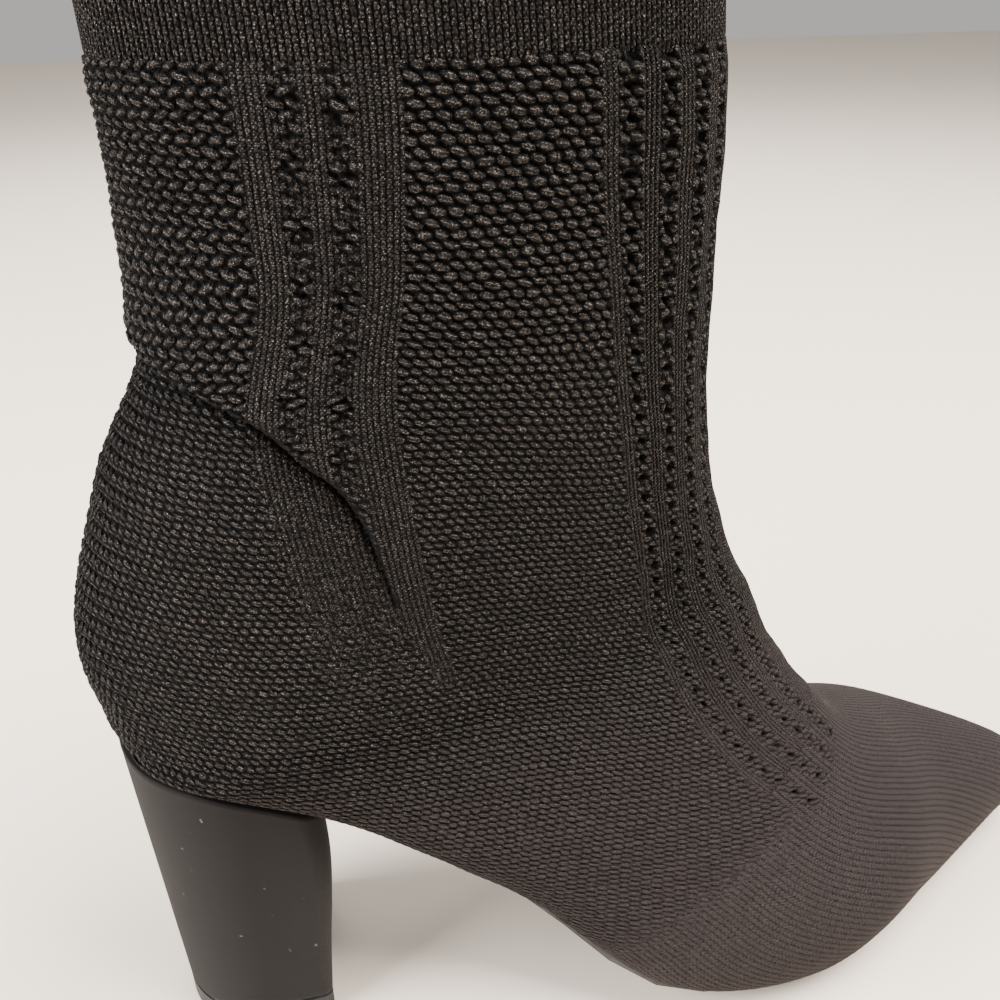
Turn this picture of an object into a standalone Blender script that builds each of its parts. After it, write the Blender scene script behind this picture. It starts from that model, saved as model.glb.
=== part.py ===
"""Knitted ankle boot on a block heel: a right boot with a pointed toe.

Metres, +X to the toe, +Y to the inner side of the foot, +Z up. The origin is on
the floor, in the middle of the heel's rubber tip.

The upper is a fan of sections. Each section runs from a point on the back or
sole line to a point on the front line: level rings round the shaft, which tilt
over the heel and end as upright hoops round the foot.
"""
import math
from typing import NamedTuple

import bmesh
import bpy
import numpy as np

# Driving sizes of the boot
LENGTH = 0.250              # back of the heel to the tip of the toe, level
BOOT_HEIGHT = 0.248         # floor to the collar
HEEL_HEIGHT = 0.0845        # floor to the back of the heel seat
ANKLE_HEIGHT = 0.0835       # heel seat to the notch where the shaft folds on the heel
CUFF_DEPTH = 0.030          # ribbed cuff, collar to its lower edge
SHAFT_DEPTH = 0.109         # front to back at the cuff
SHAFT_WIDTH = 0.063         # side to side at the ankle
HEEL_WIDTH = 0.061          # side to side at the heel counter
BALL_WIDTH = 0.082          # side to side at the ball of the foot
INSTEP_RISE = 0.045         # sole line to the top of the foot, over the ball
TOE_SPRING = 0.0062         # how far the tip of the toe lifts off the level
TOE_CURVE = 0.004           # how far the toe swings to the inner side

# Walls and pieces
WALL = 0.0022               # knitted wall
CUFF_STEP = 0.0005          # the cuff is this much thinner, on its outer side
GAP = 0.0003                # between pieces that touch
SOLE_THICKNESS = 0.0028
SOLE_LAP = 0.42             # share of the turned-in edge that the sole covers
INSOLE_LAP = 0.0010         # how far the insole rests on the turned-in edge
INSOLE_GAP = 0.0005         # under the insole, where the sole line bends
INSOLE_THICKNESS = 0.0030
INSOLE_BACK = 0.0080        # the insole's end, from the back of the sole line
INSOLE_ROUND = 0.0013       # its end is rounded over twice this length
HEEL_PAD = 0.0010           # the insole stands this much higher at the back
HEEL_PAD_LENGTH = 0.030
SOLE_BEVEL = 0.0006         # lower edges of the sole and the insole
HEM_CURVE = 0.77            # under 1 turns the upper in under the foot more sharply
FULL_OPENING = 0.5          # opening, as a share of the width, where that turn is sharpest

# The heel
HEEL_TOP_WIDTH = 0.051
HEEL_TOP_LENGTH = 0.0415
HEEL_REST_WIDTH = 0.0406
HEEL_REST_LENGTH = 0.0349
HEEL_BACK = 0.0034          # back of the block's top, from the back of the boot
HEEL_REST_BACK = 0.0065     # back of the rubber tip, from the back of the boot
HEEL_SEAT_GAP = 0.0007      # between the block and the curved underside of the upper
HEEL_TIP = 0.0060           # thickness of the rubber tip
HEEL_ROUND = 1.0            # how far forward the round back reaches, by its half width
HEEL_FULLNESS = 0.94        # under 1 is a squarer back
HEEL_HOLLOW = 0.0008        # the breast is this much hollow across
TIP_BEVEL = 0.0005          # round the rubber tip, at the floor

# How fine the facets are
STEPS = 3                   # rings between two rows of the table
AROUND = 40                 # facets round a section, even
HEEL_BACK_FACETS = 15       # from the middle of the heel's back to its side
HEEL_CORNER_FACETS = 6      # round each front corner of the heel

FLOOR_TO_UPPER = SOLE_THICKNESS + GAP
HEEL_REST_CENTRE = HEEL_REST_BACK + HEEL_REST_LENGTH / 2


class Section(NamedTuple):
    """One section of the upper, measured from the back of the boot."""
    back_x: float           # the back line, or the sole line under the foot
    back_z: float
    front_x: float          # the shin, the instep or the top of the foot
    front_z: float
    width: float            # widest across
    widest: float           # where it is widest, as a share from back to front
    edge: float             # across the opening underneath, 0 round the shaft
    centre: float           # middle of the section, to the inner side
    crown: float            # under 1 is a fuller top, over 1 a sharper one


def ankle(share):
    """Level between the heel seat, 0, and the notch at the ankle, 1."""
    return HEEL_HEIGHT + share * ANKLE_HEIGHT


def shaft(share):
    """Level between the notch at the ankle, 0, and the edge of the cuff, 1."""
    notch = ankle(1.0)
    return notch + share * (BOOT_HEIGHT - CUFF_DEPTH - notch)


def arch(share):
    """Level of the sole line: 0 on the tread, 1 at the back of the heel seat."""
    return FLOOR_TO_UPPER + share * (HEEL_HEIGHT - FLOOR_TO_UPPER)


def spring(share):
    """Level of the sole line where the toe lifts, 1 at the tip."""
    return FLOOR_TO_UPPER + share * TOE_SPRING


def shaft_row(back_x, share, depth, width):
    """A level ring of the shaft."""
    back = back_x * LENGTH
    return Section(back, share, back + depth * SHAFT_DEPTH, share, width * SHAFT_WIDTH, 0.50, 0, 0, 1)


def heel_row(back_x, back_level, front_x, front_level, width, widest):
    """A ring that tilts from the back of the heel up to the instep."""
    return Section(back_x * LENGTH, ankle(back_level), front_x * LENGTH, ankle(front_level),
                   width * HEEL_WIDTH, widest, 0, 0, 1)


def foot_row(sole_x, sole_z, top_x, rise, widths, widest, swing, crown):
    """A hoop round the foot, open underneath; widths are its own and its opening's."""
    return Section(sole_x * LENGTH, sole_z, top_x * LENGTH, sole_z + rise * INSTEP_RISE,
                   widths[0], widest, widths[1], swing, crown)


# From the collar to the tip of the toe
CUFF_ROWS = (
    shaft_row(0.088, BOOT_HEIGHT, 0.975, 0.97),
    shaft_row(0.091, shaft(1.00), 1.00, 0.98),
)
LEG_ROWS = (
    shaft_row(0.092, shaft(0.50), 1.01, 0.99),
    Section(0.086 * LENGTH, ankle(1.00), 0.086 * LENGTH + 1.02 * SHAFT_DEPTH, ankle(1.15),
            1.00 * SHAFT_WIDTH, 0.48, 0, 0, 1),
    heel_row(0.040, 0.71, 0.536, 0.79, 1.04, 0.45),
    heel_row(0.000, 0.31, 0.553, 0.515, 1.00, 0.40),
    heel_row(0.005, 0.09, 0.561, 0.425, 0.99, 0.34),
    heel_row(0.015, 0.00, 0.570, 0.34, 0.98, 0.28),
)
FOOT_ROWS = (
    foot_row(0.033, arch(0.992), 0.583, 0.47, (0.98 * HEEL_WIDTH, 0.27 * HEEL_WIDTH), 0.25, 0, 1.00),
    foot_row(0.096, arch(0.946), 0.598, 0.40, (0.98 * HEEL_WIDTH, 0.68 * HEEL_WIDTH), 0.22, 0, 1.00),
    foot_row(0.204, arch(0.765), 0.624, 0.42, (0.76 * BALL_WIDTH, 0.50 * BALL_WIDTH), 0.20, 0, 1.00),
    foot_row(0.346, arch(0.440), 0.662, 0.68, (0.81 * BALL_WIDTH, 0.50 * BALL_WIDTH), 0.22, -0.003, 1.10),
    foot_row(0.476, arch(0.091), 0.712, 1.00, (0.97 * BALL_WIDTH, 0.68 * BALL_WIDTH), 0.26, -0.006, 1.10),
    foot_row(0.624, arch(0.000), 0.772, 0.97, (1.03 * BALL_WIDTH, 0.76 * BALL_WIDTH), 0.32, -0.003, 1.00),
    foot_row(0.756, arch(0.000), 0.838, 0.78, (0.83 * BALL_WIDTH, 0.60 * BALL_WIDTH), 0.38, 0.003, 0.92),
    foot_row(0.892, spring(0.40), 0.948, 0.47, (0.42 * BALL_WIDTH, 0.26 * BALL_WIDTH), 0.42, TOE_CURVE, 0.88),
    foot_row(0.958, spring(0.80), 0.993, 0.24, (0.22 * BALL_WIDTH, 0.12 * BALL_WIDTH), 0.46, TOE_CURVE, 0.90),
    foot_row(0.986, spring(1.00), 0.986, 0.00, (0.00, 0.00), 0.50, TOE_CURVE, 1.00),
)
ROWS = CUFF_ROWS + LEG_ROWS + FOOT_ROWS
CUFF_EDGE = len(CUFF_ROWS) - 1
CORNER = len(CUFF_ROWS) + len(LEG_ROWS) - 1
TIP = len(ROWS) - 1


def smooth(values, at):
    """A smooth curve through evenly numbered values, read at the places given."""
    values = np.asarray(values, float)
    steps = np.diff(values, axis=0)
    slopes = np.empty_like(values)
    slopes[1:-1] = (steps[1:] + steps[:-1]) / 2
    slopes[0] = 1.5 * steps[0] - 0.5 * slopes[1]
    slopes[-1] = 1.5 * steps[-1] - 0.5 * slopes[-2]
    at = np.asarray(at, float)
    row = np.clip(at.astype(int), 0, len(values) - 2)
    t = (at - row).reshape((-1,) + (1,) * (values.ndim - 1))
    return ((2 * t ** 3 - 3 * t ** 2 + 1) * values[row] + (t ** 3 - 2 * t ** 2 + t) * slopes[row]
            + (3 * t ** 2 - 2 * t ** 3) * values[row + 1] + (t ** 3 - t ** 2) * slopes[row + 1])


def sections(places):
    """Sections between the rows of the table, at places counted in rows."""
    places = np.asarray(places, float)
    table = np.array(ROWS)
    found = smooth(table, places)
    leg = smooth(table[:CORNER + 1, :2], np.minimum(places, CORNER))
    foot = smooth(table[CORNER:, :2], np.maximum(places - CORNER, 0))
    found[:, :2] = np.where(places[:, None] <= CORNER, leg, foot)
    opening = smooth(table[CORNER:, 6], np.maximum(places - CORNER, 0))
    found[:, 6] = np.where(places <= CORNER, 0, opening)
    found[:, 1] = np.maximum(found[:, 1], FLOOR_TO_UPPER)
    return [Section(*row) for row in found]


def hoop(section):
    """Points round one section, from the outer side of the sole over the front to the inner."""
    angle = np.linspace(0, 2 * math.pi, AROUND + 1)
    low = (angle < math.pi / 2) | (angle > 3 * math.pi / 2)
    opened = min(section.edge / (section.width * FULL_OPENING), 1) if section.width else 0
    hem = 1 - (1 - HEM_CURVE) * opened
    rise = np.where(low, section.widest * (1 - np.abs(np.cos(angle)) ** hem),
                    section.widest - (1 - section.widest) * np.cos(angle))
    bow = np.abs(np.sin(angle))
    half = np.where(low, section.edge / 2 + (section.width - section.edge) / 2 * bow ** hem,
                    section.width / 2 * bow ** section.crown)
    side = np.where(angle <= math.pi, -1.0, 1.0)
    x = section.back_x + (section.front_x - section.back_x) * rise
    z = section.back_z + (section.front_z - section.back_z) * rise
    return np.stack([x, section.centre + side * half, z], axis=-1)


def normals(grid):
    """Outward directions over a grid of hoops, closed round the leg and open under the foot."""
    along = np.gradient(grid, axis=0)
    wide = np.concatenate([grid[:, -2:-1], grid, grid[:, 1:2]], axis=1)
    round_it = (wide[:, 2:] - wide[:, :-2]) / 2
    under = slice(CORNER_RING + 1, None)
    round_it[under, 0] = grid[under, 1] - grid[under, 0]
    round_it[under, -1] = grid[under, -1] - grid[under, -2]
    out = np.cross(along, round_it)
    out[-1] = (1.0, 0.0, -1.0)
    out /= np.linalg.norm(out, axis=-1, keepdims=True)
    out[1:-1] = out[:-2] + 2 * out[1:-1] + out[2:]
    return out / np.linalg.norm(out, axis=-1, keepdims=True)


def mesh_object(name, points, faces, material, sharp=40):
    """One closed piece from points in the boot's frame, moved to its origin."""
    mesh = bpy.data.meshes.new(name)
    places = [(x - HEEL_REST_CENTRE, y, z) for x, y, z in points]
    mesh.from_pydata(places, [], faces)
    build = bmesh.new()
    build.from_mesh(mesh)
    bmesh.ops.triangulate(build, faces=[f for f in build.faces if len(f.verts) > 3])
    bmesh.ops.recalc_face_normals(build, faces=build.faces)
    build.to_mesh(mesh)
    build.free()
    mesh.shade_smooth()
    mesh.set_sharp_from_angle(angle=math.radians(sharp))
    mesh.materials.append(material)
    piece = bpy.data.objects.new(name, mesh)
    bpy.context.collection.objects.link(piece)
    return piece


def material(name, colour, roughness):
    finish = bpy.data.materials.new(name)
    finish.use_nodes = True
    shader = finish.node_tree.nodes["Principled BSDF"]
    shader.inputs["Base Color"].default_value = (*colour, 1.0)
    shader.inputs["Roughness"].default_value = roughness
    shader.inputs["Metallic"].default_value = 0.0
    return finish


# Places of the hoops: the cuff's own, then even steps from its edge to the toe
CUFF_PLACES = np.linspace(0, CUFF_EDGE - 0.02, STEPS)
BODY_PLACES = np.linspace(CUFF_EDGE, TIP, (TIP - CUFF_EDGE) * STEPS + 1)
PLACES = np.concatenate([CUFF_PLACES, BODY_PLACES])
CORNER_RING = len(CUFF_PLACES) + (CORNER - CUFF_EDGE) * STEPS


def make_upper(finish):
    """The knitted sock: one wall, open at the collar and along the sole."""
    grid = np.array([hoop(s) for s in sections(PLACES)])
    out = normals(grid)
    inner = grid - WALL * out
    outer = grid.copy()
    cuff = len(CUFF_PLACES)
    outer[:cuff] -= CUFF_STEP * out[:cuff]

    rings = len(PLACES)
    points = []
    index = np.zeros((2, rings, AROUND + 1), int)
    for side, skin in enumerate((outer, inner)):
        for ring in range(rings):
            if ring == rings - 1:
                index[side, ring, :] = len(points)
                points.append(skin[ring, 0])
                continue
            shared = 1 if ring <= CORNER_RING else 0
            count = AROUND + 1 - shared
            index[side, ring, :count] = np.arange(len(points), len(points) + count)
            if shared:
                index[side, ring, AROUND] = index[side, ring, 0]
            points.extend(skin[ring, :count])

    faces = []

    def quad(a, b, c, d):
        corners = [int(a), int(b), int(c), int(d)]
        face = [v for k, v in enumerate(corners) if v != corners[k - 1]]
        if len(set(face)) > 2:
            faces.append(face)

    for side in (0, 1):
        ids = index[side]
        for ring in range(rings - 1):
            for k in range(AROUND):
                quad(ids[ring, k], ids[ring, k + 1], ids[ring + 1, k + 1], ids[ring + 1, k])
    for k in range(AROUND):
        quad(index[0, 0, k], index[0, 0, k + 1], index[1, 0, k + 1], index[1, 0, k])
    for ring in range(CORNER_RING, rings - 1):
        for k in (0, AROUND):
            quad(index[0, ring, k], index[0, ring + 1, k], index[1, ring + 1, k], index[1, ring, k])
    return mesh_object("upper", points, faces, finish)


# The sole line at each hoop: x, level, half the opening, half the width, middle
SOLE_LINE = np.array([(s.back_x, s.back_z, s.edge / 2, s.width / 2, s.centre)
                      for s in sections(PLACES[CORNER_RING:])])
SOLE_X = SOLE_LINE[:, 0]
SLOPE = np.gradient(SOLE_LINE[:, 1], SOLE_X)


def sole_at(x):
    """The sole line's values at a distance from the back of the boot."""
    return [float(np.interp(x, SOLE_X, column)) for column in SOLE_LINE.T]


def upright(thickness, x):
    """Height that a thickness takes up where the sole line slopes."""
    return thickness * math.hypot(1, float(np.interp(x, SOLE_X, SLOPE)))


def plank(name, stations, finish):
    """A thin piece under the foot from cross-sections (x, middle, half width, top, bottom, bevel)."""
    points = []
    for x, middle, half, top, bottom, bevel in stations:
        shoulder = top - (top - bottom) * 0.5
        for y, z in ((-half, top), (half, top), (half, shoulder),
                     (half - bevel, bottom), (bevel - half, bottom), (-half, shoulder)):
            points.append((x, middle + y, z))
    sides = 6
    faces = [list(range(sides)), [len(points) - 1 - k for k in range(sides)]]
    for start in range(0, len(points) - sides, sides):
        for k in range(sides):
            after = (k + 1) % sides
            faces.append([start + k, start + after, start + sides + after, start + sides + k])
    return mesh_object(name, points, faces, finish)


def make_outsole(finish):
    """Thin sole from the heel's breast to the toe, tucked in under the upper."""
    start = HEEL_BACK + HEEL_TOP_LENGTH + 2 * GAP
    stations = []
    for x in [start] + [x for x in SOLE_X if start < x < SOLE_X[-1]]:
        _, level, edge, widest, middle = sole_at(x)
        climb = (level - FLOOR_TO_UPPER) / (HEEL_HEIGHT - FLOOR_TO_UPPER)
        half = edge + SOLE_LAP * max(1 - climb, 0) ** 3 * (widest - edge)
        top = level - GAP
        bottom = max(top - upright(SOLE_THICKNESS, x), 0.0)
        stations.append((x, middle, half, top, bottom, SOLE_BEVEL))
    return plank("outsole", stations, finish)


def make_insole(finish):
    """Padded sock on the turned-in edge of the upper."""
    start = SOLE_X[0] + INSOLE_BACK
    end = FOOT_ROWS[-2].back_x
    ends = ((start, 0.75), (start + INSOLE_ROUND, 0.93))
    places = list(ends) + [(x, 1.0) for x in SOLE_X if start + 2 * INSOLE_ROUND < x <= end]
    stations = []
    for x, share in places:
        _, level, edge, _, middle = sole_at(x)
        pad = HEEL_PAD * max(1 - x / HEEL_PAD_LENGTH, 0)
        bottom = level + upright(WALL + INSOLE_GAP, x) + pad
        top = bottom + upright(INSOLE_THICKNESS, x)
        stations.append((x, middle, share * (edge + INSOLE_LAP), top, bottom, SOLE_BEVEL))
    return plank("insole", stations, finish)


# The heel block from its seat down: share of its height, its length as a share
# of the way from the top length to the rest length, and its front corners' radius
HEEL_LEVELS = (
    (0.00, 0.00, 0.0062),
    (0.12, 0.00, 0.0057),
    (0.25, 0.05, 0.0050),
    (0.45, 0.29, 0.0040),
    (0.70, 0.65, 0.0030),
    (1.00, 1.00, 0.0022),
)


def heel_ring(level, length_share, corner):
    """Half the heel's outline at a level, back to breast: lists of x and y."""
    back = HEEL_BACK + level * (HEEL_REST_BACK - HEEL_BACK)
    length = HEEL_TOP_LENGTH + length_share * (HEEL_REST_LENGTH - HEEL_TOP_LENGTH)
    half = (HEEL_TOP_WIDTH + level * (HEEL_REST_WIDTH - HEEL_TOP_WIDTH)) / 2
    front = back + length
    reach = HEEL_ROUND * half
    outline = []
    for k in range(HEEL_BACK_FACETS + 1):
        a = math.pi / 2 * k / HEEL_BACK_FACETS
        outline.append((back + reach * (1 - math.cos(a)), half * math.sin(a) ** HEEL_FULLNESS))
    for k in range(HEEL_CORNER_FACETS + 1):
        a = math.pi / 2 * k / HEEL_CORNER_FACETS
        outline.append((front - corner + corner * math.sin(a), half - corner + corner * math.cos(a)))
    outline.append((front - HEEL_HOLLOW, 0.0))
    return outline


def stack(name, rings, finish):
    """A solid from half outlines, top to bottom; each ring is a list of x, y and z."""
    points = []
    count = len(rings[0])
    around = 2 * count - 2
    for ring in rings:
        points += [(x, -y, z) for x, y, z in ring]
        points += [(x, y, z) for x, y, z in reversed(ring[1:-1])]
    faces = []
    for start in range(0, len(points) - around, around):
        for k in range(around):
            after = (k + 1) % around
            faces.append([start + k, start + after, start + around + after, start + around + k])
    for start in (0, len(points) - around):
        faces.append([start, start + 1, start + around - 1])
        for k in range(1, count - 2):
            faces.append([start + k, start + k + 1, start + around - k - 1, start + around - k])
        faces.append([start + count - 2, start + count - 1, start + count])
    return mesh_object(name, points, faces, finish, sharp=30)


def make_heel_block(finish):
    """Block heel, its top cut to the slope of the heel seat."""
    rings = []
    foot = HEEL_TIP + GAP
    for level, length_share, corner in HEEL_LEVELS:
        ring = []
        for x, y in heel_ring(level, length_share, corner):
            top = sole_at(x)[1] - HEEL_SEAT_GAP
            ring.append((x, y, top + level * (foot - top)))
        rings.append(ring)
    return stack("heel_block", rings, finish)


def make_heel_tip(finish):
    """Rubber piece under the heel, with a small bevel on the floor."""
    outline = heel_ring(*HEEL_LEVELS[-1])
    middle = HEEL_REST_CENTRE
    rings = []
    for z, inset in ((HEEL_TIP, 0.0), (TIP_BEVEL, 0.0), (0.0, TIP_BEVEL)):
        shrink = 1 - inset / (HEEL_REST_LENGTH / 2)
        rings.append([(middle + (x - middle) * shrink, y * shrink, z) for x, y in outline])
    return stack("heel_tip", rings, finish)


def main():
    for old in list(bpy.data.objects):
        bpy.data.objects.remove(old, do_unlink=True)
    knit = material("black_knit", (0.022, 0.020, 0.019), 0.85)
    lining = material("grey_lining", (0.10, 0.095, 0.09), 0.80)
    rubber = material("black_rubber", (0.018, 0.018, 0.018), 0.55)
    microfibre = material("black_microfibre", (0.030, 0.027, 0.026), 0.92)
    make_upper(knit)
    make_insole(lining)
    make_outsole(rubber)
    make_heel_block(microfibre)
    make_heel_tip(rubber)


main()
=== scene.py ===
"""Looks of the knitted ankle boot: knit, lining, sole, wrapped heel, floor and camera.

Metres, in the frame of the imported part: +X to the toe, +Y to the inner side of
the foot, +Z up, the origin on the floor under the middle of the heel.

The knit is a fan of hoops, as in the solid. A vertex of it is known by its hoop,
counted down from the collar, and by how far round the hoop it is from the front.
"""
import math
from typing import NamedTuple

import bpy
import numpy as np
from bpy.props import FloatProperty, FloatVectorProperty, IntProperty, PointerProperty
from mathutils import Matrix, Vector


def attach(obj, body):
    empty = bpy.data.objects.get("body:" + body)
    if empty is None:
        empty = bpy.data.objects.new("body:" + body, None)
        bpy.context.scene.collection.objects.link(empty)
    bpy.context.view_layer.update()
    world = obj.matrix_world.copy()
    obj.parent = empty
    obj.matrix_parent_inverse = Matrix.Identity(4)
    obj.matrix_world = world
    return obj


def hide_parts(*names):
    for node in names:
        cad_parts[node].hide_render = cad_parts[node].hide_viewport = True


bl_info = {
    "name": "Knitted ankle boot",
    "version": (1, 0, 0),
    "blender": (4, 5, 0),
    "location": "3D View > Sidebar > Boot",
    "description": "Dresses the knitted ankle boot and sets its stage",
    "category": "Object",
}

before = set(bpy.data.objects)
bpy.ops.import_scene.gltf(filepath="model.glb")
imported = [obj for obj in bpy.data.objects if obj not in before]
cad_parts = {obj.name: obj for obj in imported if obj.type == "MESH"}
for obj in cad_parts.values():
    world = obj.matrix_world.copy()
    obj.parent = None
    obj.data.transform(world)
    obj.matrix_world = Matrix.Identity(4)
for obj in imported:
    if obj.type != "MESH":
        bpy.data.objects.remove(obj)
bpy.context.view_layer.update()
BODY = "root"
MM = 0.001


def length_prop(name, description, default):
    return FloatProperty(name=name, description=description, default=default, unit="LENGTH",
                         subtype="DISTANCE", precision=4)


def share_prop(name, description, default):
    return FloatProperty(name=name, description=description, default=default, subtype="FACTOR",
                         min=0, max=1)


def colour_prop(name, description, default):
    return FloatVectorProperty(name=name, description=description, default=default, subtype="COLOR",
                               size=3, min=0, max=1)


class BootSizes(bpy.types.PropertyGroup):
    """Driving sizes of the boot, the same as those of its solids"""
    length: length_prop("Length", "Back of the heel to the tip of the toe", 0.250)
    boot_height: length_prop("Height", "Floor to the collar", 0.248)
    heel_height: length_prop("Heel height", "Floor to the back of the heel seat", 0.0845)
    ankle_height: length_prop("Ankle height", "Heel seat to the notch at the ankle", 0.0835)
    cuff_depth: length_prop("Cuff depth", "Collar to the lower edge of the ribbed cuff", 0.030)
    shaft_depth: length_prop("Shaft depth", "Front to back at the cuff", 0.109)
    shaft_width: length_prop("Shaft width", "Side to side at the ankle", 0.063)
    heel_width: length_prop("Heel width", "Side to side at the heel counter", 0.061)
    ball_width: length_prop("Ball width", "Side to side at the ball of the foot", 0.082)
    instep_rise: length_prop("Instep rise", "Sole line to the top of the foot at the ball", 0.045)
    toe_spring: length_prop("Toe spring", "How far the tip of the toe lifts", 0.0062)
    toe_curve: length_prop("Toe curve", "How far the toe swings to the inner side", 0.004)
    sole_thickness: length_prop("Sole thickness", "Thickness of the rubber sole", 0.0028)
    wall: length_prop("Wall", "Thickness of the knit", 0.0022)
    gap: length_prop("Gap", "Between pieces that touch", 0.0003)
    cuff_step: length_prop("Cuff step", "How much thinner the cuff is", 0.0005)
    rest_centre: length_prop("Heel rest", "Back of the boot to the middle of the heel's tip", 0.02395)


class HeelSizes(bpy.types.PropertyGroup):
    """Sizes of the block heel"""
    top_width: length_prop("Top width", "Across the top", 0.051)
    top_length: length_prop("Top length", "Back to breast at the top", 0.0415)
    rest_width: length_prop("Rest width", "Across the tip", 0.0406)
    rest_length: length_prop("Rest length", "Back to breast at the tip", 0.0349)
    back: length_prop("Back", "Back of the boot to the back of the top", 0.0034)
    rest_back: length_prop("Rest back", "Back of the boot to the back of the tip", 0.0065)
    seat_gap: length_prop("Seat gap", "Between the block and the upper", 0.0007)
    tip: length_prop("Tip", "Thickness of the rubber tip", 0.0060)
    hollow: length_prop("Hollow", "How much the breast is hollow across", 0.0008)
    fullness: share_prop("Fullness", "Under 1 is a squarer back", 0.94)


# From the seat down: share of the height, share from the top length to the rest length, corner radius
HEEL_LEVELS = (
    (0.00, 0.00, 0.0062),
    (0.12, 0.00, 0.0057),
    (0.25, 0.05, 0.0050),
    (0.45, 0.29, 0.0040),
    (0.70, 0.65, 0.0030),
    (1.00, 1.00, 0.0022),
)


class KnitSettings(bpy.types.PropertyGroup):
    """Gauge and relief of the knit"""
    columns: IntProperty(name="Columns", description="Facets from the front to the back", default=352)
    course: length_prop("Ring spacing", "Between two rings of facets", 0.00048)
    cuff_wales: IntProperty(name="Cuff wales", description="Ribs in half the cuff", default=126)
    wale: length_prop("Wale", "Width of one rib of the shaft's panels", 0.00110)
    knot: length_prop("Knot", "Width of a knot of the moss panels under the cuff", 0.0028)
    fine_knot: length_prop("Fine knot", "Width of a knot over the foot", 0.0020)
    toe_wale: length_prop("Toe wale", "Width of one rib of the toe", 0.0015)
    eyelet_pitch: length_prop("Eyelet pitch", "From one eyelet down to the next", 0.0045)
    cluster_pitch: length_prop("Cluster pitch", "From one rough cluster down to the next", 0.0046)
    relief: length_prop("Relief", "Height of the coarse knots", 0.0009)


class BootColours(bpy.types.PropertyGroup):
    """Colours of the boot"""
    yarn: colour_prop("Yarn", "Black yarn", (0.0200, 0.0174, 0.0163))
    # Painted shade: the near black that the gaps between the stitches are given
    hollow: colour_prop("Hollow", "Between the stitches", (0.0004, 0.00035, 0.00035))
    # Painted highlights: glints on the plies of the yarn; also the colour of real lint
    ply_glint_and_lint: colour_prop("Fleck", "Bright plies of the yarn", (0.225, 0.200, 0.184))
    # The toe's own dusty, slightly purple yarn, and painted light: it is lighter than the yarn
    toe: colour_prop("Toe", "Yarn of the toe, dusty and a little purple", (0.0265, 0.0212, 0.0214))
    microfibre: colour_prop("Microfibre", "Wrap of the heel", (0.0040, 0.0034, 0.0033))
    rubber: colour_prop("Rubber", "Sole and heel tip", (0.016, 0.016, 0.016))
    insole: colour_prop("Insole", "Sock that the foot stands on", (0.045, 0.042, 0.040))
    floor: colour_prop("Floor", "Plain pale floor", (0.85, 0.75, 0.64))


class Section(NamedTuple):
    """One section of the knit, measured from the back of the boot."""
    back_x: float
    back_z: float
    front_x: float
    front_z: float
    width: float
    widest: float
    edge: float
    centre: float
    crown: float


CUFF_EDGE = 1               # number of the hoop at the lower edge of the cuff
CORNER = 7                  # number of the hoop at the back of the heel seat
TIP = 17                    # number of the hoop at the tip of the toe
HEM_CURVE = 0.77            # under 1 turns the knit in under the foot more sharply
FULL_OPENING = 0.5          # opening, as a share of the width, where that turn is sharpest


def section_rows(b):
    """The boot's sections from the collar to the tip of the toe."""
    def ankle(share):
        return b.heel_height + share * b.ankle_height

    def shaft(share):
        return ankle(1) + share * (b.boot_height - b.cuff_depth - ankle(1))

    floor = b.sole_thickness + b.gap

    def arch(share):
        return floor + share * (b.heel_height - floor)

    def spring(share):
        return floor + share * b.toe_spring

    def ring(back_x, level, depth, width):
        back = back_x * b.length
        return Section(back, level, back + depth * b.shaft_depth, level, width * b.shaft_width, 0.50, 0, 0, 1)

    def heel(back_x, back_level, front_x, front_level, width, widest):
        return Section(back_x * b.length, ankle(back_level), front_x * b.length, ankle(front_level),
                       width * b.heel_width, widest, 0, 0, 1)

    def foot(sole_x, sole_z, top_x, rise, widths, widest, swing, crown):
        return Section(sole_x * b.length, sole_z, top_x * b.length, sole_z + rise * b.instep_rise,
                       widths[0], widest, widths[1], swing, crown)

    def counter(width, opening):
        return (width * b.heel_width, opening * b.heel_width)

    def ball(width, opening):
        return (width * b.ball_width, opening * b.ball_width)

    notch_x = 0.086 * b.length
    return [
        ring(0.088, b.boot_height, 0.975, 0.97),
        ring(0.091, shaft(1.00), 1.00, 0.98),
        ring(0.092, shaft(0.50), 1.01, 0.99),
        Section(notch_x, ankle(1.00), notch_x + 1.02 * b.shaft_depth, ankle(1.15),
                1.00 * b.shaft_width, 0.48, 0, 0, 1),
        heel(0.040, 0.71, 0.536, 0.79, 1.04, 0.45),
        heel(0.000, 0.31, 0.553, 0.515, 1.00, 0.40),
        heel(0.005, 0.09, 0.561, 0.425, 0.99, 0.34),
        heel(0.015, 0.00, 0.570, 0.34, 0.98, 0.28),
        foot(0.033, arch(0.992), 0.583, 0.47, counter(0.98, 0.27), 0.25, 0, 1.00),
        foot(0.096, arch(0.946), 0.598, 0.40, counter(0.98, 0.68), 0.22, 0, 1.00),
        foot(0.204, arch(0.765), 0.624, 0.42, ball(0.76, 0.50), 0.20, 0, 1.00),
        foot(0.346, arch(0.440), 0.662, 0.68, ball(0.81, 0.50), 0.22, -0.003, 1.10),
        foot(0.476, arch(0.091), 0.712, 1.00, ball(0.97, 0.68), 0.26, -0.006, 1.10),
        foot(0.624, arch(0.000), 0.772, 0.97, ball(1.03, 0.76), 0.32, -0.003, 1.00),
        foot(0.756, arch(0.000), 0.838, 0.78, ball(0.83, 0.60), 0.38, 0.003, 0.92),
        foot(0.892, spring(0.40), 0.948, 0.47, ball(0.42, 0.26), 0.42, b.toe_curve, 0.88),
        foot(0.958, spring(0.80), 0.993, 0.24, ball(0.22, 0.12), 0.46, b.toe_curve, 0.90),
        foot(0.986, spring(1.00), 0.986, 0.00, (0.0, 0.0), 0.50, b.toe_curve, 1.00),
    ]


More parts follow.
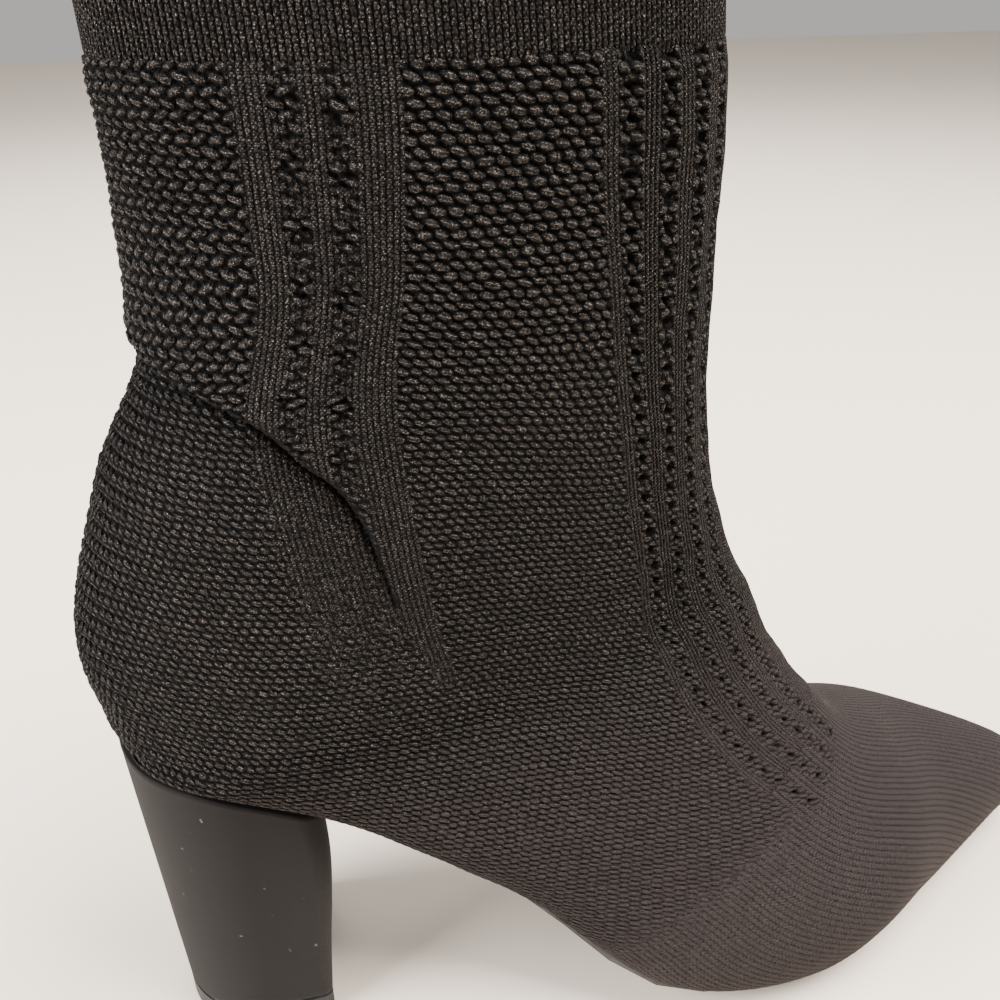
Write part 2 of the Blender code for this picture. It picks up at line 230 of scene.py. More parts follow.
def smooth(values, at):
    """A smooth curve through evenly numbered values, read at the places given."""
    values = np.asarray(values, float)
    steps = np.diff(values, axis=0)
    slopes = np.empty_like(values)
    slopes[1:-1] = (steps[1:] + steps[:-1]) / 2
    slopes[0] = 1.5 * steps[0] - 0.5 * slopes[1]
    slopes[-1] = 1.5 * steps[-1] - 0.5 * slopes[-2]
    at = np.asarray(at, float)
    row = np.clip(at.astype(int), 0, len(values) - 2)
    t = (at - row).reshape((-1,) + (1,) * (values.ndim - 1))
    return ((2 * t ** 3 - 3 * t ** 2 + 1) * values[row] + (t ** 3 - 2 * t ** 2 + t) * slopes[row]
            + (3 * t ** 2 - 2 * t ** 3) * values[row + 1] + (t ** 3 - t ** 2) * slopes[row + 1])


def sections(b, places):
    """Values of the sections at places counted in rows, one line a place."""
    places = np.asarray(places, float)
    table = np.array(section_rows(b))
    found = smooth(table, places)
    leg = smooth(table[:CORNER + 1, :2], np.minimum(places, CORNER))
    foot = smooth(table[CORNER:, :2], np.maximum(places - CORNER, 0))
    found[:, :2] = np.where(places[:, None] <= CORNER, leg, foot)
    opening = smooth(table[CORNER:, 6], np.maximum(places - CORNER, 0))
    found[:, 6] = np.where(places <= CORNER, 0, opening)
    found[:, 1] = np.maximum(found[:, 1], b.sole_thickness + b.gap)
    return found


FINE_ANGLES = 361           # points from the sole to the front before the even spacing


def half_hoops(b, places):
    """Half of each hoop from its front to the sole: x, half width, z, distance from the front, middle."""
    angle = np.linspace(math.pi, 0, FINE_ANGLES)[None, :]
    back_x, back_z, front_x, front_z, width, widest, edge, centre, crown = (
        column[:, None] for column in sections(b, places).T)
    opened = np.clip(edge / (np.maximum(width, 1e-6) * FULL_OPENING), 0, 1)
    hem = 1 - (1 - HEM_CURVE) * opened
    low = angle < math.pi / 2
    rise = np.where(low, widest * (1 - np.abs(np.cos(angle)) ** hem), widest - (1 - widest) * np.cos(angle))
    bow = np.sin(angle)
    bow = np.clip(bow, 0, 1)
    half = np.where(low, edge / 2 + (width - edge) / 2 * bow ** hem, width / 2 * bow ** crown)
    x = back_x + (front_x - back_x) * rise
    z = back_z + (front_z - back_z) * rise
    steps = np.sqrt(np.diff(x) ** 2 + np.diff(half) ** 2 + np.diff(z) ** 2)
    far = np.concatenate([np.zeros((len(x), 1)), np.cumsum(steps, axis=1)], axis=1)
    return x, half, z, far, centre[:, 0]


class Weave(NamedTuple):
    """A grid of the knit: rings from the collar on, columns from the outer back over the front."""
    points: np.ndarray      # places of the vertices
    out: np.ndarray         # outward directions
    hoop: np.ndarray        # number of the hoop, one a ring
    down: np.ndarray        # distance down from the collar, one a ring
    away: np.ndarray        # distance from the front line, to the outer side below 0
    half: np.ndarray        # front to back or sole along the hoop, one a ring
    wale: np.ndarray        # the distance from the front that the wale has under the cuff
    front: np.ndarray       # front to the edge of the eyelet panels, one a ring


FRONT_PANEL = 0.046         # front to the edge of the eyelet panels under the cuff
# The same at each hoop from the collar to the start of the toe
PANEL_WIDTHS = (0.0452, 0.0451, 0.0450, 0.0423, 0.0384, 0.0360, 0.0350, 0.0356, 0.0369, 0.0377,
                0.0392, 0.0374, 0.0335)
FRONT_SHARE = 0.45          # the most of a hoop that it takes
FRONT_COLUMNS = 0.36        # share of the columns that it gets
SHAFT_HALF = 0.138          # front to back round the shaft


def distance_down(b):
    """Hoop numbers and the mean distance down the knit to each."""
    places = np.linspace(0, TIP, 1701)
    x, half, z, far, _ = half_hoops(b, places)
    steps = np.sqrt(np.diff(x, axis=0) ** 2 + np.diff(half, axis=0) ** 2 + np.diff(z, axis=0) ** 2)
    return places, np.concatenate([[0], np.cumsum(steps.mean(axis=1))])


def unit(vectors):
    return vectors / np.maximum(np.linalg.norm(vectors, axis=-1, keepdims=True), 1e-12)


def outward(points, hoop):
    """Outward directions over a grid of hoops, closed round the leg and open under the foot."""
    along = np.gradient(points, axis=0)
    around = np.gradient(points, axis=1)
    closed = hoop <= CORNER
    seam = (points[:, 1] - points[:, -2]) / 2
    around[closed, 0] = seam[closed]
    around[closed, -1] = seam[closed]
    out = np.cross(along, around)
    return unit(out)


def weave(b, places, columns, fan=None, plain=False):
    """A grid at these hoops. Its columns follow the wales, are even, or are a fan cut off at the sole."""
    x, half, z, far, centre = half_hoops(b, places)
    total = far[:, -1:]
    share = np.linspace(0, 1, columns + 1)[None, :]
    front = smooth(PANEL_WIDTHS, np.minimum(places, len(PANEL_WIDTHS) - 1))[:, None]
    front = np.minimum(front, FRONT_SHARE * total)
    beyond = np.clip((share - FRONT_COLUMNS) / (1 - FRONT_COLUMNS), 0, 1)
    away = np.where(share < FRONT_COLUMNS, front * share / FRONT_COLUMNS, front + (total - front) * beyond)
    if plain:
        away = share * total
    if fan is not None:
        away = np.minimum(fan, total)
    if plain:
        front = total * FRONT_PANEL / SHAFT_HALF
    wale = np.where(away < front, FRONT_PANEL * away / np.maximum(front, 1e-9),
                    FRONT_PANEL + (SHAFT_HALF - FRONT_PANEL) * (away - front) / np.maximum(total - front, 1e-9))
    sides = []
    for line in (x, half, z):
        sides.append(np.array([np.interp(a, f, v) for a, f, v in zip(away, far, line)]))
    x, half, z = sides
    middle = centre[:, None]
    outer = np.stack([x - b.rest_centre, middle - half, z], axis=-1)
    inner = np.stack([x - b.rest_centre, middle + half, z], axis=-1)
    points = np.concatenate([outer[:, ::-1], inner[:, 1:]], axis=1)
    known, down = distance_down(b)
    return Weave(points, outward(points, places), np.asarray(places), np.interp(places, known, down),
                 np.concatenate([-away[:, ::-1], away[:, 1:]], axis=1), total[:, 0],
                 np.concatenate([wale[:, ::-1], wale[:, 1:]], axis=1), front[:, 0])


def places_at(b, start, stop, spacing):
    """Hoop numbers evenly spaced down the knit between two hoops."""
    places, down = distance_down(b)
    first, last = np.interp([start, stop], places, down)
    count = max(int(round((last - first) / spacing)), 2)
    return np.interp(np.linspace(first, last, count + 1), down, places)


# Stitches

def fade(value, low, high):
    """0 below low, 1 above high, smooth between."""
    t = np.clip((value - low) / (high - low), 0, 1)
    return t * t * (3 - 2 * t)


def window(value, low, high, soft):
    return fade(value, low - soft / 2, low + soft / 2) * (1 - fade(value, high - soft / 2, high + soft / 2))


def rib(wales):
    """Height of rounded ribs with sharp valleys, from counts of wales."""
    f = np.abs(wales - np.floor(wales) - 0.5) * 2
    return np.sqrt(np.clip(1 - (0.97 * f) ** 2, 0, 1))


def chance(first, second, seed):
    """An even random number for each pair of whole numbers."""
    mixed = np.sin(first * 127.1 + second * 311.7 + seed * 74.7) * 43758.5453
    return mixed - np.floor(mixed)


KNOT_WIDE, KNOT_TALL = 0.52, 0.52       # half sizes of a knot, as shares of its cell


def knots(wales, courses, lean, zig):
    """Height of brick-laid knots. All of them lean by lean, and by zig to one side and the other in turn."""
    row = np.floor(courses)
    odd = np.mod(row, 2)
    a = wales + 0.5 * odd
    c = courses - row - 0.5
    a = a - np.floor(a) - 0.5 + (lean + zig * (2 * odd - 1)) * c
    return np.sqrt(np.clip(1 - (a / KNOT_WIDE) ** 2 - (c / KNOT_TALL) ** 2, 0, 1))


def waves(u, v, size, seed):
    """Soft unevenness, about -1 to 1."""
    total = 0
    for k in range(4):
        turn = 2.4 * k + seed
        total = total + np.sin((u * math.cos(turn) + v * math.sin(turn)) / size * (1 + 0.31 * k) * 6.2832 + 1.7 * k)
    return total / 4


# Panels of the shaft: distance from the front line under the cuff, in metres
EYELETS = (0.0145, 0.0229, 0.0316, 0.0404)
EYELET_HALF = 0.0024
MOSS_FROM, MOSS_TO = 0.0460, 0.0772
SIDE_RIB = (0.0772, 0.0828)
CLUSTERS = (0.0868, 0.0945)
BACK_MOSS = 0.1026
BEHIND = (SIDE_RIB[0] + BACK_MOSS) / 2
BESIDE_SHARE = 0.85         # wales for each metre beside the front panel, below the fold
TOE_START = 11.72           # hoop where the plain ribs of the toe start
HEEL_END = 8.6              # hoop where the rows round the heel stop
# The fold at the ankle, where the shaft hangs over the heel: hoop number and share of the half hoop
FOLD = ((2.90, 1.00), (2.96, 0.94), (3.15, 0.83), (3.39, 0.73), (3.66, 0.667), (3.91, 0.609),
        (4.35, 0.56), (4.86, 0.524))
COARSE_ROW, FINE_ROW = 0.62, 0.80      # height of a row of knots, as a share of a knot's width
ROW_SLOPE = 0.30            # how many rows a row of fine knots drops for each knot, towards the front
SLOPED_KNOTS = 12.0         # knots beside the front panel over which the rows drop


def reach_down(b, w):
    """Distance from the cuff down to each vertex, along lines beside the front panel."""
    steps = np.diff(w.points, axis=0)
    along = unit(np.gradient(w.points, axis=1))[:-1]
    steps = np.linalg.norm(steps - (steps * along).sum(-1, keepdims=True) * along, axis=-1)
    middle = w.points.shape[1] // 2
    beside = (w.away - w.front[:, None])[:, middle:]
    reach = np.zeros(beside.shape)
    for ring in range(len(steps)):
        reach[ring + 1] = np.interp(beside[ring + 1], beside[ring], reach[ring] + steps[ring, middle:])
    reach += w.down[0] - np.interp(CUFF_EDGE, *distance_down(b))
    return np.concatenate([reach[:, :0:-1], reach], axis=1)


def knot_size(k, reach):
    return k.knot + (k.fine_knot - k.knot) * fade(reach, 0.008, 0.085)


def knot_rows(k, reach):
    """Rows of knots down to a reach."""
    table = np.linspace(-0.01, 0.4, 2001)
    size = knot_size(k, table)
    share = COARSE_ROW + (FINE_ROW - COARSE_ROW) * (k.knot - size) / (k.knot - k.fine_knot)
    rows = np.cumsum(1 / (share * size)) * (table[1] - table[0])
    return np.interp(reach, table, rows)


def fold_distance(b, w):
    """Distance from the fold over the heel, above it positive, and how far along it: 0 at the back."""
    known, down = distance_down(b)
    hoop, share = smooth(FOLD, np.linspace(0, len(FOLD) - 1, 43)).T
    half = np.interp(hoop, w.hoop, w.half)
    x, y = share * half, np.interp(hoop, known, down)
    px, py = np.abs(w.away), w.down[:, None] + 0 * w.away
    best = np.full(px.shape, 1.0)
    signed = np.zeros(px.shape)
    along = np.zeros(px.shape)
    for n in range(len(x) - 1):
        dx, dy = x[n + 1] - x[n], y[n + 1] - y[n]
        t = ((px - x[n]) * dx + (py - y[n]) * dy) / (dx * dx + dy * dy)
        t = np.clip(t, 0 if n else -9, 1)
        far = np.hypot(px - x[n] - t * dx, py - y[n] - t * dy)
        side = np.sign((py - y[n]) * dx - (px - x[n]) * dy)
        nearer = far < best
        best = np.where(nearer, far, best)
        signed = np.where(nearer, far * side, signed)
        along = np.where(nearer, (n + t) / (len(x) - 1), along)
    return signed, along


def plain_layers(shape, ribs, stitches, toe_tint_and_light, hole_shade=0.0):
    """What the yarn's material reads, for a piece of plain ribs."""
    values = {"ribs": ribs, "stitches": stitches, "toe_tint_and_light": toe_tint_and_light, "hole_shade": hole_shade,
              "wales": 0.0, "courses": 0.0, "moss": 0.0, "lean": 0.0, "zig": 0.0}
    return {name: np.broadcast_to(value, shape).copy() for name, value in values.items()}


def stitch_relief(b, k, w):
    """Height of the panels of stitches over the shaft, the heel and the foot, and the material's layers."""
    hoop = w.hoop[:, None] + 0 * w.away
    half = w.half[:, None] + 0 * w.away
    down = w.down[:, None] + 0 * w.away
    drop = down - np.interp(CUFF_EDGE, *distance_down(b))
    wale = w.wale
    away = np.abs(w.away)
    reach = reach_down(b, w)
    lower = FRONT_PANEL + (away - w.front[:, None]) * BESIDE_SHARE
    back_wale = wale + fade(hoop, 2.2, 4.0) * (lower - wale)
    back_wale = BACK_MOSS - (BACK_MOSS - back_wale) * (1 + 0.16 * fade(hoop, 1.0, 3.2) + 0.10 * fade(hoop, 3.2, 5.0))
    back_wale = np.where(wale > FRONT_PANEL, back_wale, wale)
    over, along = fold_distance(b, w)
    above = over > 0
    over = fade(over, -0.0006, 0.0006)

    # where each knot lies: moss beside the front panel and over the foot, herringbone behind the ankle
    size = knot_size(k, reach)
    behind = (wale > BEHIND) & above & (hoop < FOLD[-1][0])
    wales = (away - w.front[:, None] - (MOSS_TO - MOSS_FROM) / 2) / size
    courses = knot_rows(k, reach)
    round_heel = fade(away / half, 0.74, 0.95) * (1 - over) * (1 - fade(hoop, 7.6, HEEL_END))
    wales = np.where(behind, (wale - SHAFT_HALF) / k.knot, wales)
    courses = np.where(behind, drop / (COARSE_ROW * k.knot), courses)
    lean = np.where(behind, 0.0, 0.30 * (1 - round_heel))
    zig = np.where(behind, 0.62, 0.20 + 0.25 * round_heel)
    wales = wales + 0.13 * waves(away, down, 0.008, 2.0)
    courses = courses + 0.16 * waves(away, down, 0.010, 5.0)
    fine = fade(k.knot - size, 0, k.knot - k.fine_knot)
    sloped = SLOPED_KNOTS * np.tanh(wales / SLOPED_KNOTS)
    courses = np.where(behind, courses, courses + ROW_SLOPE * fine * sloped)
    tall = np.where(behind, k.relief, k.relief * (1 - 0.60 * fine))
    moss_height = tall * (knots(wales, courses, lean, zig) - 0.5)

    # ribs of stacked stitches, at the front and between the moss panels
    toe = fade(hoop, TOE_START - 0.40, TOE_START - 0.08)
    ribs = np.where(hoop > TOE_START - 0.5, away / k.toe_wale, back_wale / k.wale)
    stitches = reach / (0.72 * k.wale)
    rib_height = 0.00042 * (rib(ribs) - 0.55)
    front = 1 - fade(wale, MOSS_FROM - 0.0004, MOSS_FROM + 0.0004)
    uneven = 0.5 + 0.5 * waves(away, down, 0.006, 3.0)
    ragged = back_wale + 0.0030 * (1 - over) * (waves(away, down, 0.0035, 9.0))
    between = window(ragged, SIDE_RIB[0], BACK_MOSS, 0.0012)
    between *= 1 - fade(hoop + 2.2 * uneven * (1 - over), 5.0, 7.4)
    between *= 1 - 0.30 * (1 - over) * (1 - uneven)
    moss = (1 - front) * (1 - between) * (1 - 0.85 * toe)
    # holes and gaps, which the relief sinks and the material darkens with painted shade
    hole_shade = np.zeros(wale.shape)
    raised = np.zeros(wale.shape)

    # columns of eyelets with lace knots between them
    for n, place in enumerate(EYELETS):
        turn = reach / k.eyelet_pitch + 0.08 * n
        row = np.floor(turn)
        a = wale - place - 0.0006 * (chance(row, n, 3.0) - 0.5)
        c = (turn - row - 0.5 - 0.16 * (chance(row, n, 4.0) - 0.5)) * k.eyelet_pitch
        wide = (0.00105 + 0.0004 * chance(row, n, 5.0)) * (1 - 0.40 * fade(hoop, 5.5, 9.5))
        high = (0.00080 + 0.0003 * chance(row, n, 6.0)) * (1 - 0.25 * fade(hoop, 5.5, 9.5))
        deep = 0.75 + 0.25 * chance(row, n, 7.0)
        deep *= 1 - fade(hoop, 5.5, 9.0) * (0.25 + 0.40 * chance(row, n, 9.0))
        panel = window(wale, place - EYELET_HALF, place + EYELET_HALF, 0.0008) * front
        # painted shade in each eyelet
        hole_shade += panel * deep * np.exp(-((a / wide) ** 2 + (c / high) ** 2) ** 1.5)
        raised += panel * 0.00022 * np.exp(-((np.hypot(a / 0.0017, (c + 0.0005) / 0.0014) - 1) / 0.40) ** 2)
        moss = np.maximum(moss, panel * 0.9)

    # rough clusters of knots and gaps in the ribs
    dots = np.zeros(wale.shape)
    for n, place in enumerate(CLUSTERS):
        turn = reach / k.cluster_pitch + 0.30 * n
        row = np.floor(turn)
        weight = 0.55 + 0.45 * np.mod(row, 2)
        a = back_wale - place - 0.0006 * (chance(row, n, 8.0) - 0.5)
        c = (turn - row - 0.5) * k.cluster_pitch
        patch = np.exp(-((a / 0.0026) ** 2 + (c / 0.0026) ** 2) ** 2)
        column = window(a, -0.0022, 0.0022, 0.0010)
        patch *= over * (1 - fade(hoop, 3.7, 4.7)) * weight * between
        for m in range(6):
            x = a - 0.0042 * (chance(row, n, 10.0 + m) - 0.5)
            y = c - 0.0040 * (chance(row, n, 20.0 + m) - 0.5)
            dots += 0.75 * patch * np.exp(-(x / 0.00060) ** 2 - (y / 0.00045) ** 2)
        raised += 0.00018 * patch
        moss = np.maximum(moss, np.maximum(patch, 0.45 * column * between * over))
    # painted shade in the gaps of the clusters
    hole_shade += dots

    # ridges round the heel, gaps under the cuff, and the flat edge that is pulled over the last, with painted shade
    # between the ridges, in the gaps and along the edge
    ridge = 0.5 + 0.5 * np.cos(2 * math.pi * courses / 2)
    raised += 0.00030 * (ridge - 0.5) * round_heel
    hole_shade += 0.60 * (1 - ridge) ** 2 * round_heel * fade(away / half, 0.72, 0.95)
    deep = 0.0013 * hole_shade - 0.0007 * dots
    gaps = 0.5 + 0.5 * np.cos(2 * math.pi * wale / (0.8 * k.knot))
    under_cuff = np.exp(-((drop - 0.0014) / 0.0009) ** 2) * fade(gaps, 0.15, 0.75)
    hole_shade += 0.30 * under_cuff * np.maximum(window(wale, MOSS_FROM, MOSS_TO, 0.001), fade(wale, BACK_MOSS, BACK_MOSS + 0.001))
    pulled = (1 - fade(half - away, 0.0005, 0.0085)) * fade(hoop, 7.5, 8.6)
    hole_shade = np.clip(np.maximum(hole_shade, 0.35 * pulled), 0, 1)

    height = rib_height + moss * (moss_height - rib_height) + raised - deep * (1 - pulled)
    height *= 1 - 0.75 * pulled
    height -= b.cuff_step * (1 - fade(drop, 0.0, 0.005)) + 0.0004 * (1 - fade(drop, 0.0, 0.0006))
    height -= 0.0005 * fade(hoop, TOE_START - 0.05, TOE_START)
    layers = {"wales": wales, "courses": courses, "ribs": ribs, "stitches": stitches, "moss": moss,
              "lean": lean, "zig": zig, "hole_shade": hole_shade}
    return height, layers


def folds(b, w):
    """Height of the large soft forms, and how much painted shade goes in the crease of the fold over the heel."""
    hoop = w.hoop[:, None] + 0 * w.away
    down = w.down[:, None] + 0 * w.away
    s, along = fold_distance(b, w)
    tail = 1 - fade(along, 0.55, 0.99)
    strength = 0.30 + 0.70 * tail
    end = 1 - fade(along, 0.93, 1.0)
    shelf = np.where(s > 0, np.exp(-s / 0.010), -0.8 * np.exp(s / 0.0065))
    tuck = np.exp(-(s / (0.0006 + 0.0006 * tail)) ** 2) * end
    soft = waves(w.away, down, 0.060, 1.0) * 0.0005 * (1 - fade(hoop, 11, 12.5))
    soft += waves(w.away, down, 0.021, 4.0) * 0.00018
    form = (0.0016 * shelf * strength * end - 0.0016 * tuck * strength) + soft
    return form, tuck * (0.5 + 0.5 * tail)


def surface(name, points, normals, faces, layers, finish):
    """A piece from arrays, with a value a vertex for each named layer."""
    used, index = np.unique(faces.ravel(), return_inverse=True)
    faces = index.reshape(faces.shape)
    points = points.reshape(-1, 3)[used]
    normals = normals.reshape(-1, 3)[used]
    mesh = bpy.data.meshes.new(name)
    mesh.vertices.add(len(points))
    mesh.vertices.foreach_set("co", points.ravel())
    mesh.loops.add(faces.size)
    mesh.loops.foreach_set("vertex_index", faces.ravel().astype(np.int32))
    mesh.polygons.add(len(faces))
    mesh.polygons.foreach_set("loop_start", np.arange(0, faces.size, 4, dtype=np.int32))
    mesh.update(calc_edges=True)
    mesh.validate()
    mesh.polygons.foreach_set("use_smooth", np.ones(len(mesh.polygons), bool))
    for layer, values in layers.items():
        data = mesh.attributes.new(layer, "FLOAT", "POINT").data
        data.foreach_set("value", values.ravel()[used].astype(np.float32))
    mesh.normals_split_custom_set_from_vertices(normals.tolist())
    mesh.materials.append(finish)
    piece = bpy.data.objects.new(name, mesh)
    bpy.context.scene.collection.objects.link(piece)
    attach(piece, BODY)
    return piece


def quads(rings, columns, closed):
    """Faces of a grid; a closed ring's last column is its first."""
    index = np.arange(rings * columns).reshape(rings, columns)
    index[closed, -1] = index[closed, 0]
    a, b = index[:-1, :-1], index[:-1, 1:]
    c, d = index[1:, 1:], index[1:, :-1]
    return np.stack([a, d, c, b], axis=-1).reshape(-1, 4)


def build_knit(name, b, w, height, layers, finish, rows=slice(None)):
    """One band of the knit, raised by height, as a piece."""
    points = w.points + w.out * height[..., None]
    normals = outward(points, w.hoop)
    part = points[rows]
    closed = w.hoop[rows] <= CORNER
    faces = quads(part.shape[0], part.shape[1], closed)
    piece = surface(name, part, normals[rows], faces,
                    {key: value[rows] for key, value in layers.items()}, finish)
    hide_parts("upper")
    return piece


# Materials

def material(name):
    finish = bpy.data.materials.new(name)
    finish.use_nodes = True
    tree = finish.node_tree
    shader = tree.nodes["Principled BSDF"]
    return finish, tree, shader


def node(tree, kind, **inputs):
    made = tree.nodes.new(kind)
    for key, value in inputs.items():
        if hasattr(made, key):
            setattr(made, key, value)
        else:
            made.inputs[key.replace("_", " ")].default_value = value
    return made


def join(tree, start, end):
    tree.links.new(start, end)


def maths(tree, operation, first, second):
    made = tree.nodes.new("ShaderNodeMath")
    made.operation = operation
    for socket, value in zip(made.inputs, (first, second)):
        if isinstance(value, (int, float)):
            socket.default_value = value
        else:
            join(tree, value, socket)
    return made.outputs[0]


def layer(tree, name):
    made = tree.nodes.new("ShaderNodeAttribute")
    made.attribute_name = name
    return made.outputs["Fac"]


def noise(tree, scale, detail=2.0, roughness=0.5, coordinate="Object"):
    place = tree.nodes.new("ShaderNodeTexCoord")
    made = node(tree, "ShaderNodeTexNoise", Scale=scale, Detail=detail, Roughness=roughness)
    join(tree, place.outputs[coordinate], made.inputs["Vector"])
    return made.outputs["Fac"]


def ramp(tree, value, low, high):
    made = tree.nodes.new("ShaderNodeMapRange")
    made.interpolation_type = "SMOOTHSTEP"
    made.inputs["From Min"].default_value = low
    made.inputs["From Max"].default_value = high
    join(tree, value, made.inputs["Value"])
    return made.outputs["Result"]


def mix(tree, amount, first, second):
    made = tree.nodes.new("ShaderNodeMix")
    made.data_type = "RGBA"
    factor = made.inputs[0]
    if isinstance(amount, float):
        factor.default_value = amount
    else:
        join(tree, amount, factor)
    for socket, value in ((made.inputs[6], first), (made.inputs[7], second)):
        if isinstance(value, (tuple, list)):
            socket.default_value = (*value, 1.0)
        else:
            join(tree, value, socket)
    return made.outputs[2]


def bump(tree, height, distance, strength, below=None):
    made = node(tree, "ShaderNodeBump", Strength=strength, Distance=distance)
    join(tree, height, made.inputs["Height"])
    if below is not None:
        join(tree, below, made.inputs["Normal"])
    return made.outputs["Normal"]


def fraction(tree, value):
    return maths(tree, "SUBTRACT", maths(tree, "FRACT", value, 0.0), 0.5)


def dome(tree, *ratios):
    """Height over an ellipse, from distances as shares of its half sizes."""
    left = None
    for value in ratios:
        squared = maths(tree, "MULTIPLY", value, value)
        left = maths(tree, "SUBTRACT", 1.0 if left is None else left, squared)
    return maths(tree, "MAXIMUM", left, 0.0)


def between(tree, share, first, second):
    """A number from the first to the second."""
    apart = maths(tree, "SUBTRACT", second, first)
    return maths(tree, "ADD", first, maths(tree, "MULTIPLY", apart, share))


def knit_finish(c, name="black_knit_yarn"):
    """Matt black yarn, with painted shade that makes the gaps near black, painted highlights on the plies on top of the
    stitches, and a little lint.
    """
    finish, tree, shader = material(name)
    wales, courses, ribs, stitches, moss, lean, zig, hole_shade, toe_tint_and_light = (layer(tree, kind) for kind in (
        "wales", "courses", "ribs", "stitches", "moss", "lean", "zig", "hole_shade", "toe_tint_and_light"))
    # knots, as in the relief
    row = maths(tree, "FLOOR", courses, 0.0)
    odd = maths(tree, "FLOORED_MODULO", row, 2.0)
    a = maths(tree, "ADD", wales, maths(tree, "MULTIPLY", odd, 0.5))
    down = fraction(tree, courses)
    turn = maths(tree, "MULTIPLY", zig, maths(tree, "SUBTRACT", maths(tree, "MULTIPLY", odd, 2.0), 1.0))
    shift = maths(tree, "MULTIPLY", maths(tree, "ADD", lean, turn), down)
    across = maths(tree, "ADD", fraction(tree, a), shift)
    knot = dome(tree, maths(tree, "DIVIDE", across, KNOT_WIDE), maths(tree, "DIVIDE", down, KNOT_TALL))
    cell = node(tree, "ShaderNodeCombineXYZ")
    join(tree, maths(tree, "FLOOR", a, 0.0), cell.inputs["X"])
    join(tree, row, cell.inputs["Y"])
    luck = tree.nodes.new("ShaderNodeTexWhiteNoise")
    join(tree, cell.outputs["Vector"], luck.inputs["Vector"])
    luck = luck.outputs["Value"]
    knot_ply = maths(tree, "ADD", maths(tree, "ADD", maths(tree, "MULTIPLY", down, 1.9), across), luck)
    # ribs of stacked stitches
    side = fraction(tree, ribs)
    ridge = dome(tree, maths(tree, "MULTIPLY", side, 1.94))
    stack = maths(tree, "ADD", stitches, maths(tree, "MULTIPLY", maths(tree, "FLOOR", ribs, 0.0), 0.5))
    bow = maths(tree, "MULTIPLY", maths(tree, "MULTIPLY", side, side), 1.2)
    off = maths(tree, "MULTIPLY", fraction(tree, maths(tree, "SUBTRACT", stack, bow)), 2.0)
    stitch = maths(tree, "SUBTRACT", 1.0, maths(tree, "MULTIPLY", off, off))
    stitched = maths(tree, "MULTIPLY", ridge, between(tree, stitch, 0.12, 1.0))
    chevron = maths(tree, "ADD", stack, maths(tree, "MULTIPLY", maths(tree, "ABSOLUTE", side, 0.0), 1.1))

    rough_edge = maths(tree, "MULTIPLY", maths(tree, "SUBTRACT", noise(tree, 1500.0, 2.0, 0.6), 0.5), 1.5)
    rise = maths(tree, "ADD", between(tree, moss, stitched, knot), rough_edge)
    rise = between(tree, maths(tree, "MULTIPLY", toe_tint_and_light, 0.62), rise, 0.80)
    # painted shade: holes, gaps and creases sink towards the hollow colour
    rise = maths(tree, "MULTIPLY", rise, maths(tree, "SUBTRACT", 1.0, hole_shade))
    ply = between(tree, maths(tree, "GREATER_THAN", moss, 0.5), chevron, knot_ply)
    twist = maths(tree, "SINE", maths(tree, "MULTIPLY", ply, 2 * math.pi), 0.0)
    fibre = noise(tree, 3000.0, 3.0, 0.7)
    speck = noise(tree, 4300.0, 1.0, 0.5)
    lint = noise(tree, 900.0, 2.0, 0.6)
    broad = noise(tree, 45.0, 3.0, 0.6)
    yarn = tuple(c.yarn)
    base = mix(tree, ramp(tree, broad, 0.35, 0.70), tuple(0.75 * v for v in yarn), tuple(1.2 * v for v in yarn))
    base = mix(tree, maths(tree, "MULTIPLY", luck, 0.55), base, tuple(0.45 * v for v in yarn))
    base = mix(tree, ramp(tree, fibre, 0.36, 0.58), tuple(0.20 * v for v in yarn), base)
    base = mix(tree, toe_tint_and_light, base, tuple(c.toe))
    # painted highlights: glints along the twisted plies and bright specks on the tops of the stitches, fewer on the
    # toe, with the shader's own specular kept low
    lit = maths(tree, "MULTIPLY", ramp(tree, twist, -0.3, 1.0), ramp(tree, fibre, 0.44, 0.64))
    lit = maths(tree, "ADD", maths(tree, "MULTIPLY", lit, 0.45), maths(tree, "MULTIPLY", ramp(tree, speck, 0.62, 0.70), 0.75))
    lit = maths(tree, "MULTIPLY", lit, between(tree, toe_tint_and_light, 1.0, 0.22))
    top = mix(tree, lit, base, tuple(c.ply_glint_and_lint))
    # real lint, in the same pale colour
    fuzz = maths(tree, "MULTIPLY", ramp(tree, lint, 0.70, 0.78), 0.25)
    top = mix(tree, fuzz, top, tuple(c.ply_glint_and_lint))
    # painted shade: the low parts of the relief fade to the near black hollow colour
    join(tree, mix(tree, ramp(tree, rise, 0.25, 0.82), tuple(c.hollow), top), shader.inputs["Base Color"])
    rough = maths(tree, "ADD", maths(tree, "MULTIPLY", fibre, 0.25), 0.62)
    join(tree, rough, shader.inputs["Roughness"])
    shader.inputs["Specular IOR Level"].default_value = 0.06
    shader.inputs["Sheen Weight"].default_value = 0.01
    shader.inputs["Sheen Roughness"].default_value = 0.5
    relief = bump(tree, rise, 0.00075, 1.0)
    plies = bump(tree, twist, 0.00010, 0.8, relief)
    join(tree, bump(tree, fibre, 0.00020, 0.8, plies), shader.inputs["Normal"])
    return finish


def rubber_finish(c):
    finish, tree, shader = material("black_moulded_rubber")
    shader.inputs["Specular IOR Level"].default_value = 0.20
    grain = noise(tree, 1400.0, 3.0, 0.6)
    wear = noise(tree, 70.0, 4.0, 0.65)
    base = mix(tree, ramp(tree, wear, 0.45, 0.75), tuple(c.rubber), tuple(2.6 * v for v in c.rubber))
    join(tree, base, shader.inputs["Base Color"])
    join(tree, maths(tree, "ADD", maths(tree, "MULTIPLY", wear, 0.3), 0.42), shader.inputs["Roughness"])
    join(tree, bump(tree, grain, 0.0001, 0.5), shader.inputs["Normal"])
    return finish


